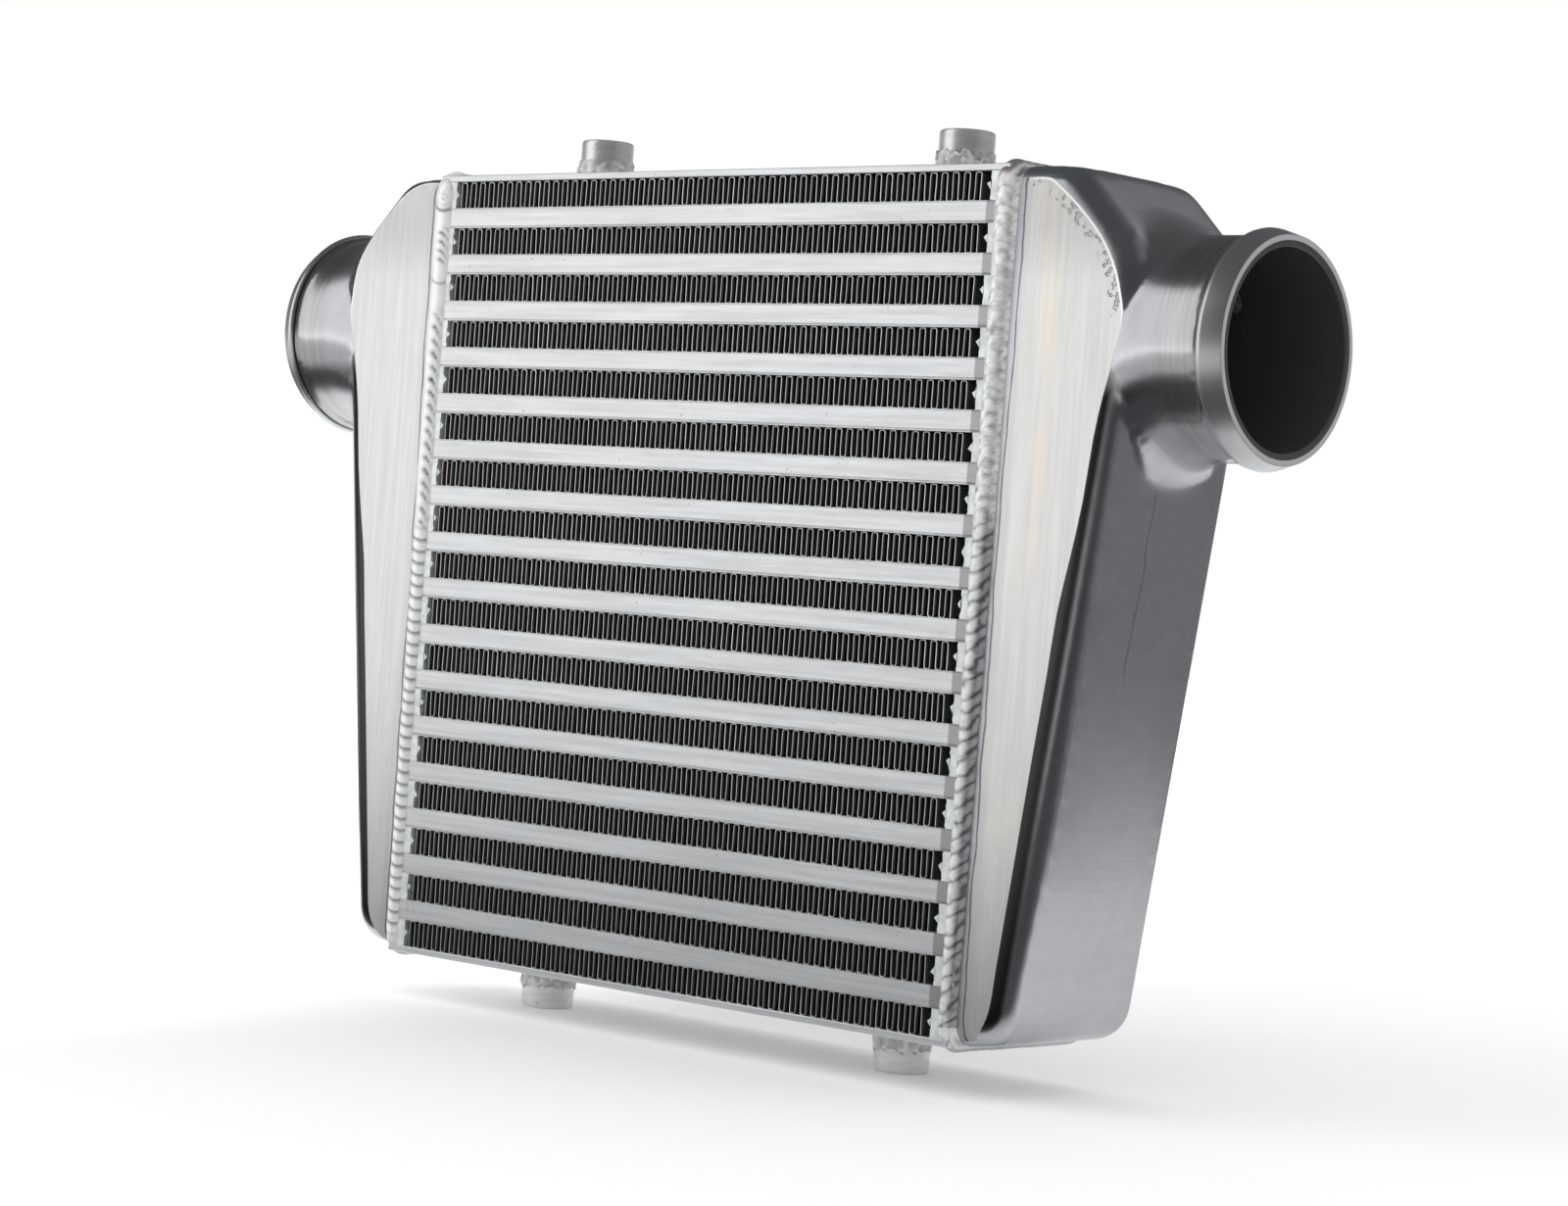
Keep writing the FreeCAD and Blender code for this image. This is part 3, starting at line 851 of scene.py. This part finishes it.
def bead_path(travel, half_depth, half_height, corner):
    """Place, outward direction and run of a point on the rounded rectangle of a tank bead."""
    flat_z = 2 * (half_height - corner)
    flat_y = 2 * (half_depth - corner)
    arc = math.pi / 2 * corner
    spans = (flat_z, arc, flat_y, arc, flat_z, arc, flat_y, arc)
    turns = ((-1, 0), (0, 1), (1, 0), (0, -1))
    for number, span in enumerate(spans):
        if travel <= span or number == 7:
            break
        travel -= span
    out = Vector(turns[number // 2])
    ahead = Vector(turns[(number // 2 + 1) % 4])
    centre = Vector((out.x * (half_depth - corner), out.y * (half_height - corner)))
    start = out * corner + centre - ahead * (flat_z if out.y == 0 else flat_y) / 2
    if number % 2 == 0:
        return start + ahead * travel, out, number // 2
    pivot = start + ahead * spans[number - 1] - out * corner
    angle = travel / corner
    way = out * math.cos(angle) + ahead * math.sin(angle)
    return pivot + way * corner, way, number // 2


def add_bead(bm, welds, sign, low, high):
    """A closed bead round a tank: a grid bent along its path and swelled by the scales."""
    radius = welds.radius
    half_depth = (high.y - low.y) / 2 - radius
    half_height = (high.z - low.z) / 2 - radius
    middle = (low + high) / 2
    corner, around, spare = 0.003, 26, 0.0007
    tone = bm.verts.layers.float.new("tone")
    length = 4 * (half_depth + half_height - 2 * corner) + math.tau * corner
    steps = int(length / welds.step)
    bmesh.ops.create_grid(bm, x_segments=steps, y_segments=around, size=1.0)
    for vert in bm.verts:
        travel = (vert.co.x + 1) / 2 * length
        swing = math.pi * (0.72 * vert.co.y + 0.28 * vert.co.y**3)
        place, out, run = bead_path(travel, half_depth, half_height, corner)
        z = place.y + middle.z
        height, vert[tone] = swell(welds, sign, run, z, travel, swing)
        size = radius - welds.ripple + height
        over = size - (radius - spare)
        if over > 0:
            size -= over - spare * math.tanh(over / 0.0012)
        size -= 0.0015 * hump(swing - 0.92, 0.20)
        reach = size * math.cos(swing)
        wide = min(z / 0.3, 1.0) * (0.34 if sign > 0 else 0.40) - (0.10 if sign > 0 else 0.0)
        wide += 0.05 * ripple(z * 60.0, 4.0, sign)
        aside = size * math.sin(swing) * (0.62 + wide if swing > 0 else 0.56 + wide)
        x, y = middle.x + aside * sign, middle.y + place.x + out.x * reach
        vert.co = (x, y, middle.z + place.y + out.y * reach)
    bmesh.ops.remove_doubles(bm, verts=bm.verts[:], dist=1e-6)


def swell(welds, sign, run, z, travel, swing):
    """How far the bead stands out here, and how bright it is: scales laid over each other, with painted
    shade in the grooves between them.
    """
    lump = 0.0006 * ripple(travel * 55.0, swing * 0.9, 5.0 + sign)
    unevenness = 0.45 * ripple(travel * 110.0, sign * 3.0)
    if run == 0 and sign < 0:
        rise, tone = left_front(z, swing, unevenness)
    elif run == 0:
        rise, tone = right_front(z, swing, unevenness)
    else:
        rise = scales(travel / 0.0045 + math.cos(swing) + unevenness)
        # The rear run gets painted shade in its grooves; the top and the bottom keep an even tone.
        rise, tone = (rise, 0.35 + 0.65 * rise) if run == 2 else (0.5 * rise, 0.8)
    return lump + welds.ripple * rise, tone


def left_front(z, swing, unevenness):
    """A round blob at the top, narrow slots under it, and clear scales in the lower half. The tone is
    painted darker in the slots, in the grooves between the scales, in the swirl on the blob and in the
    ring and the line round it, as their shade.
    """
    slots = window(z, 0.2825, 0.2965, 0.002) + window(z, 0.180, 0.264, 0.005)
    pitch = 0.0034 if z > 0.27 else 0.0050
    slot = scales(z / pitch + 0.9 * abs(swing + 0.4) - 1.1 * swing + 0.5 * unevenness) ** 1.5
    narrow = hump(swing + 0.4, 0.33)
    narrow *= 0.55 + 0.45 * ripple(z * 330.0, 5.0, 5.0)
    cut = slots * narrow * (1.0 - slot)
    rise, tone = 1.0 - 2.2 * cut, 1.0 - 1.9 * cut
    low = window(z, 0.0, 0.180, 0.006)
    turns = -(z + 0.0040 * math.cos(swing + 0.45)) / 0.0045 + 0.3 * unevenness
    share = turns - math.floor(turns)
    spoon = share**0.8 * min((1.0 - share) / 0.18, 1.0)
    rise = (1.0 - low) * rise + low * 1.7 * spoon
    tone = (1.0 - low) * tone + low * (0.05 + 0.95 * min(2.2 * spoon, 1.0))
    away = math.hypot(z - 0.3085, 0.0058 * (swing + 0.3))
    blob = math.exp(-((away / 0.0052) ** 4))
    swirl = math.cos(away / 0.0022 * math.tau)
    rim = hump(away - 0.0054, 0.0007)
    smile = z - 0.2772 + 0.0022 * math.cos(1.6 * (swing + 0.4))
    rim += 0.7 * hump(smile, 0.0006)
    tone -= 0.35 * blob * max(-swirl, 0.0) + 0.75 * rim
    return rise + (2.2 + 0.5 * swirl) * blob - 0.8 * rim, tone


def right_front(z, swing, unevenness):
    """Flat arches in the upper half, a lump, a rope-like lower half and a ring at its foot. The tone is
    painted darker in the grooves of the arches and the rope, in the dip inside the ring and, low down,
    on the side towards the tank, as shade; it also varies at random and has dark slits.
    """
    bow = 0.0058 * math.cos(1.3 * (swing - 0.35))
    arch = scales((z - bow) / 0.0042 + 2.2 * unevenness + 0.3 * ripple(z * 300.0, swing, 7.0))
    slit = ripple(z * 260.0, swing * 1.3 + z * 90.0, 9.0)
    twist = 0.50 * math.cos(1.3 * (swing - 0.3)) - 0.42 * swing + 1.1 * unevenness
    rope = scales(z / 0.0053 + twist + 0.30 * ripple(z * 300.0, swing, 2.0))
    low = window(z, 0.0, 0.196, 0.012)
    rise = (1.0 - low) * 1.1 * arch + low * 2.0 * rope
    shade = 0.66 + 0.34 * ripple(z * 420.0, swing * 2.2, 1.0)
    flat_tone = (0.42 + 0.58 * min(1.6 * arch, 1.0)) * min(shade + 0.25, 1.0)
    tone = (1.0 - low) * flat_tone + low * (0.08 + 0.80 * min(1.2 * rope, 1.0))
    tone = tone * min(shade + 0.3, 1.0) - 1.4 * max(slit - 0.42, 0.0)
    # Painted shade: low down, the side of the bead towards the tank is darker.
    tone -= low * 0.5 * clamped((swing - 0.35) / 0.35)
    rise += 1.6 * hump(z - 0.201, 0.006)
    away = math.hypot(z - 0.0215, 0.0055 * swing)
    ring = hump(away - 0.0045, 0.0014)
    dip = hump(away, 0.0026)
    return rise + 1.8 * ring - 2.8 * dip, tone - 0.7 * dip


class COOLER_OT_tank_beads(CoolerStep, bpy.types.Operator):
    """Makes the rippled weld beads between the core and the tanks"""

    bl_idname = "cooler.tank_beads"
    bl_label = "Tank Beads"

    def make(self, scene):
        welds = scene.cooler_welds
        for side, sign in SIDES.items():
            node = "tank_weld_" + side
            bm = bmesh.new()
            add_bead(bm, welds, sign, *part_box(node))
            make_piece(bm, node + "_bead", "Weld Metal", [node], crease=70.0)


def add_boss(bm, centre, radius, foot, end):
    """A turned boss with a chamfered end and a drilled hole."""
    up = 1.0 if end > foot else -1.0
    drill = 0.0034
    below_end = (
        (0.0, 0.014), (drill, 0.0125), (drill, 0.0007), (drill + 0.0007, 0.0),
        (radius - 0.0011, 0.0), (radius - 0.00042, 0.0003), (radius - 0.0001, 0.0009),
        (radius, 0.0016),
    )
    outline = [(r, end - up * back) for r, back in below_end] + [(radius, foot)]
    part = bmesh.new()
    turn(part, [(r, 0.0, z) for r, z in outline], 64)
    bmesh.ops.translate(part, vec=centre, verts=part.verts[:])
    join_into(bm, part)


def add_collar(bm, welds, centre, radius, foot, end, seed):
    """The uneven weld fillet between a boss and its plate."""
    up = 1.0 if end > foot else -1.0
    leg, rise = welds.collar_leg, welds.collar_height
    part = bmesh.new()
    outline = [(radius - 0.001, 0.0)]
    for number in range(15):
        share = number / 14
        outline.append((radius + 0.00012 + leg * (1.0 - share) ** 1.6, rise * share))
    outline.append((radius - 0.001, rise))
    turn(part, [(r, 0.0, z) for r, z in outline], 110)
    tone = part.verts.layers.float.new("tone")
    for vert in part.verts:
        way = Vector((vert.co.x, vert.co.y, 0.0)).normalized() * 3.0
        share = vert.co.z / rise
        edge = 1.0 + 0.22 * ripple(way.x, way.y, seed)
        edge += 0.10 * ripple(way.x * 3, way.y * 3, seed)
        lump = ripple(way.x * 1.6, way.y * 1.6, share * 4.0 + seed)
        vert[tone] = 0.62 + 0.5 * lump
        if Vector((vert.co.x, vert.co.y)).length > radius:
            push = 0.0011 * lump * min(4.0 * share, 1.0) + 0.0002
            vert.co += way / 3.0 * max(push, -0.0001)
        vert.co.z = foot + up * vert.co.z * edge
    bmesh.ops.translate(part, vec=centre, verts=part.verts[:])
    join_into(bm, part)


class COOLER_OT_mounting_bosses(CoolerStep, bpy.types.Operator):
    """Makes the turned mounting bosses and the welds round them"""

    bl_idname = "cooler.mounting_bosses"
    bl_label = "Mounting Bosses"

    def make(self, scene):
        welds = scene.cooler_welds
        low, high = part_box("mounting_bosses")
        bores = bmesh.new()
        collars = bmesh.new()
        radius = high.y
        for sign in SIDES.values():
            centre = Vector((sign * (high.x - radius), 0.0, 0.0))
            for foot, end in ((CORE_HEAD, high.z), (CORE_FOOT, low.z)):
                add_boss(bores, centre, radius, foot, end)
                seed = 3.0 * sign + (1.0 if end > foot else 0.0)
                add_collar(collars, welds, centre, radius, foot, end, seed)
        make_piece(bores, "turned_bosses", "Boss Metal", ["mounting_bosses"], 30.0)
        make_piece(collars, "boss_welds", "Weld Metal", [], 70.0)


def mark_places(bm):
    """Stores how far inside the edge of the flat face each vertex is, and where the bore is."""
    outline = smooth_outline(FACE_EDGE)
    edge_depth = bm.verts.layers.float.new("edge_depth")
    hollow = bm.verts.layers.float.new("hollow")
    bore_reach, bore_start, face_start, face_end = 0.0355, 0.155, 0.026, 0.205
    bm.normal_update()
    for vert in bm.verts:
        x, y, z = abs(vert.co.x), vert.co.y, vert.co.z
        away = Vector((0.0, y, z - STUB_HEIGHT))
        inward = vert.normal.dot(away) < -0.2 * away.length
        vert[hollow] = float(inward and away.length < bore_reach and x > bore_start)
        vert[edge_depth] = -0.01
        if abs(y) > face_start and x < face_end:
            more = (0.0030 if vert.co.x < 0 else 0.0) * clamped((z - 0.262) / 0.020)
            vert[edge_depth] = depth_inside(x, z, outline) + more


def cast_shape(node, tank):
    """The solid's own shape in small even faces, as a bmesh."""
    bm = bmesh.new()
    bm.from_mesh(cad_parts[node].data)
    bmesh.ops.remove_doubles(bm, verts=bm.verts[:], dist=1e-6)
    mesh = mesh_of(bm, "casting")
    rough = add_object("casting", mesh)
    grid = rough.modifiers.new("grid", "REMESH")
    grid.mode = "VOXEL"
    grid.voxel_size = tank.grid
    graph = bpy.context.evaluated_depsgraph_get()
    made = bpy.data.meshes.new_from_object(rough.evaluated_get(graph))
    bm = bmesh.new()
    bm.from_mesh(made)
    bpy.data.objects.remove(rough)
    bpy.data.meshes.remove(mesh)
    bpy.data.meshes.remove(made)
    return bm


def soften(bm, sign):
    """Smooths the facets everywhere, the blend round the stub most, and the shoulders."""
    relax(bm, bm.verts[:], 6)
    for reach, half, rounds in ((0.058, 0.027, 40), (0.052, 0.024, 50), (0.047, 0.021, 60)):
        relax(bm, [vert for vert in bm.verts if in_blend(vert.co, sign, reach, half)], rounds)
    relax(bm, [vert for vert in bm.verts if in_shoulder(vert.co)], 24)


def in_shoulder(place):
    """Near the slanting top edge of a tank, and off the blend round its stub."""
    corner_x, corner_z, slant = 0.1648, 0.3168, 0.7071
    over = (abs(place.x) - corner_x) * slant + (place.z - corner_z) * slant
    away = math.hypot(place.y, place.z - STUB_HEIGHT)
    return 0.015 < abs(place.y) < 0.0352 and over > -0.0105 and away > 0.046 and abs(place.x) > 0.155


def in_blend(place, sign, reach, half):
    """In the ring between the stub's barrel and reach, up to half deep."""
    out = sign * place.x
    away = math.hypot(place.y, place.z - STUB_HEIGHT)
    return 0.168 < out < 0.2045 and 0.0362 < away < reach and abs(place.y) < half


def add_lip(bm, tank, sign):
    """Cuts the stub off under its lip and puts a turned lip and bore lining there."""
    low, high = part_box("right_tank" if sign > 0 else "left_tank")
    mouth = high.x if sign > 0 else low.x
    length = tank.right_lip if sign > 0 else tank.left_lip
    step = mouth - sign * length
    bmesh.ops.bisect_plane(
        bm, geom=bm.verts[:] + bm.edges[:] + bm.faces[:], dist=1e-7,
        plane_co=(step - sign * 0.0005, 0.0, 0.0), plane_no=(sign, 0.0, 0.0), clear_outer=True,
    )
    crest, taper, bore, barrel = 0.0403, 0.0383, 0.034, 0.0379
    at_mouth = (
        (0.0006, bore), (0.0001, bore + 0.0004), (0.0, bore + 0.0006),
        (0.0, taper - 0.0004), (0.0001, taper - 0.0001), (0.0004, taper),
    )
    at_step = (
        (0.0022, crest), (0.0014, crest + 0.0001), (0.0004, crest - 0.0001), (0.0, crest - 0.0005),
        (-0.0001, barrel + 0.0005), (-0.0006, barrel), (-0.0030, barrel),
    )
    outline = [(step - sign * 0.012, bore)]
    outline += [(mouth - sign * back, radius) for back, radius in at_mouth]
    outline += [(step + sign * out, radius) for out, radius in at_step]
    part = bmesh.new()
    profile = [(x, 0.0, STUB_HEIGHT + radius) for x, radius in outline]
    turn(part, profile, 160, axis=(1, 0, 0), centre=(0, 0, STUB_HEIGHT))
    join_into(bm, part)


class COOLER_OT_cast_tanks(CoolerStep, bpy.types.Operator):
    """Makes the cast tanks, with a soft blend round each stub, and finishes the hidden turbulators"""

    bl_idname = "cooler.cast_tanks"
    bl_label = "Cast Tanks"

    def make(self, scene):
        tank = scene.cooler_tank
        for side, sign in SIDES.items():
            node = side + "_tank"
            bm = cast_shape(node, tank)
            soften(bm, sign)
            add_lip(bm, tank, sign)
            mark_places(bm)
            make_piece(bm, node + "_casting", "Tank Metal", [node], 35.0)
        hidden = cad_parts["charge_air_turbulators"]
        hidden.data.materials.clear()
        hidden.data.materials.append(bpy.data.materials["Fin Foil"])


def ray_masks(tree):
    """1 for a ray from the camera, and 1 for one that metal or glass has bounced."""
    ray = tree.nodes.new("ShaderNodeLightPath").outputs
    return ray["Is Camera Ray"], any_of(ray["Is Glossy Ray"], ray["Is Transmission Ray"])


def add_camera(scene):
    data = bpy.data.cameras.new("camera")
    data.sensor_width = 36.0
    data.lens = CAMERA_LENS
    data.clip_start = 0.01
    level = math.cos(CAMERA_PITCH)
    ahead = Vector(
        (-math.sin(CAMERA_YAW) * level, math.cos(CAMERA_YAW) * level, math.sin(CAMERA_PITCH))
    )
    right = Vector((math.cos(CAMERA_YAW), math.sin(CAMERA_YAW), 0.0))
    up = right.cross(ahead)
    turned = math.cos(CAMERA_ROLL) * right + math.sin(CAMERA_ROLL) * up
    risen = -math.sin(CAMERA_ROLL) * right + math.cos(CAMERA_ROLL) * up
    camera = add_object("camera", data)
    rotation = Matrix((turned, risen, -ahead)).transposed()
    camera.matrix_world = Matrix.Translation(CAMERA_PLACE) @ rotation.to_4x4()
    scene.camera = camera


def add_floor():
    bm = bmesh.new()
    bmesh.ops.create_grid(bm, x_segments=1, y_segments=1, size=6.0)
    floor = add_object("floor", mesh_of(bm, "floor"))
    floor.data.materials.append(floor_material())


def floor_material():
    """Pale everywhere to the camera. Metal sees it pale near the cooler and dim beyond."""
    material = bpy.data.materials.new("Studio Floor")
    material.use_nodes = True
    tree = material.node_tree
    shader = tree.nodes["Principled BSDF"]
    for name, value in (
        ("Base Color", (0.90, 0.90, 0.90)),
        ("Roughness", 0.9),
        ("Specular IOR Level", 0.1),
        ("Emission Color", WHITE),
    ):
        feed(shader.inputs[name], value)
    place = coordinates(tree)
    x, y, _ = parts_of(place)
    camera, bounced = ray_masks(tree)
    # Painted light on the floor: it glows a little everywhere to the camera and to metal, and more on
    # the left, where the glow lightens the cooler's shadow.
    glow = scaled(between(x, -0.04, -0.20), 0.28, 0.10)
    feed(shader.inputs["Emission Strength"], times(any_of(camera, bounced), glow))
    near = between(vector_calc("DISTANCE", place, TANK_FOOT), 0.34, 0.22)
    edge = minus(vector_calc("DOT_PRODUCT", place, TABLE_EDGE), times(near, 0.15))
    end = between(vector_calc("DOT_PRODUCT", place, TABLE_END), -0.058, -0.047)
    beyond = any_of(
        between(vector_calc("DISTANCE", place, TABLE_MIDDLE), 0.60, 0.85),
        between(edge, 0.168, 0.178),
        times(end, between(x, 0.25, 0.40)),
        between(y, -0.03, -0.11),
    )
    side = between(vector_calc("DOT_PRODUCT", place, SIDE_WAY), 0.25, 0.75)
    panel = times(between(scaled(x, 0.4, y), -0.46, -0.57), between(x, 0.9, 0.5))
    far = mix(side, ROOM_COLOUR, SIDE_COLOUR)
    dim = add_node(tree, "ShaderNodeEmission", Color=mix(panel, far, PANEL_COLOUR))
    mixed = tree.nodes.new("ShaderNodeMixShader")
    for socket, value in zip(mixed.inputs, (times(bounced, beyond), shader.outputs[0], dim.outputs[0])):
        feed(socket, value)
    feed(tree.nodes["Material Output"].inputs["Surface"], mixed.outputs[0])
    return material


def add_lamps(studio):
    aim = Vector((0.0, 0.0, KEY_HEIGHT))
    place = KEY_DISTANCE * Vector((-math.sin(CAMERA_YAW), -math.cos(CAMERA_YAW), 0.0)) + aim
    add_lamp("key", place, aim, KEY_SIZE, studio.key_level)
    add_lamp("rear", REAR_PLACE, REAR_AIM, REAR_SIZE, REAR_SHARE * studio.key_level)


def add_lamp(name, place, aim, size, radiance):
    data = bpy.data.lights.new(name, "AREA")
    data.shape = "RECTANGLE"
    data.size, data.size_y = size
    data.energy = radiance * math.pi * data.size * data.size_y
    lamp = add_object(name, data)
    turned = (aim - place).to_track_quat("-Z", "Y").to_matrix().to_4x4()
    lamp.matrix_world = Matrix.Translation(place) @ turned
    lamp.visible_camera = False


def add_world(scene):
    world = bpy.data.worlds.new("studio")
    world.use_nodes = True
    scene.world = world
    tree = world.node_tree
    tree.nodes.clear()
    output = tree.nodes.new("ShaderNodeOutputWorld")
    way = coordinates(tree, "Generated")
    behind = (-math.sin(CAMERA_YAW), math.cos(CAMERA_YAW), 0.0)
    sweep = between(vector_calc("DOT_PRODUCT", way, behind), 0.55, 0.95)
    sweep = times(sweep, between(parts_of(way)[2], 0.25, 0.05))
    side = between(vector_calc("DOT_PRODUCT", way, SIDE_WAY), 0.30, 0.90)
    room = mix(sweep, mix(side, ROOM_COLOUR, SIDE_COLOUR), WHITE)
    camera, bounced = ray_masks(tree)
    colour = mix(bounced, (scene.cooler_studio.ambient,) * 3, room)
    sky = add_node(tree, "ShaderNodeBackground", Color=mix(camera, colour, WHITE))
    feed(output.inputs["Surface"], sky.outputs[0])


class COOLER_OT_studio(CoolerStep, bpy.types.Operator):
    """Makes the camera, the floor and the lamps"""

    bl_idname = "cooler.studio"
    bl_label = "Studio"

    def make(self, scene):
        add_camera(scene)
        add_floor()
        add_lamps(scene.cooler_studio)
        add_world(scene)
        scene.view_settings.view_transform = "Standard"


class COOLER_PT_pieces(bpy.types.Panel):
    """Lists the steps that dress the cooler"""

    bl_idname = "COOLER_PT_pieces"
    bl_label = "Charge Air Cooler"
    bl_space_type = "VIEW_3D"
    bl_region_type = "UI"
    bl_category = "Cooler"

    def draw(self, context):
        for step in STEPS:
            self.layout.operator(step.bl_idname)


STEPS = (
    COOLER_OT_finishes,
    COOLER_OT_core_plates,
    COOLER_OT_charge_tubes,
    COOLER_OT_cooling_fins,
    COOLER_OT_end_bars,
    COOLER_OT_tank_beads,
    COOLER_OT_mounting_bosses,
    COOLER_OT_cast_tanks,
    COOLER_OT_studio,
)
SETTINGS = {
    "cooler_core": CoolerCore,
    "cooler_tank": CoolerTank,
    "cooler_welds": CoolerWelds,
    "cooler_finish": CoolerFinish,
    "cooler_studio": CoolerStudio,
}
CLASSES = (*SETTINGS.values(), *STEPS, COOLER_PT_pieces)


def register():
    for made in CLASSES:
        bpy.utils.register_class(made)
    for name, kind in SETTINGS.items():
        setattr(bpy.types.Scene, name, PointerProperty(type=kind))


def unregister():
    for name in SETTINGS:
        delattr(bpy.types.Scene, name)
    for made in reversed(CLASSES):
        bpy.utils.unregister_class(made)


def main():
    register()
    for step in STEPS:
        group, call = step.bl_idname.split(".")
        getattr(getattr(bpy.ops, group), call)()


if __name__ == "__main__":
    main()
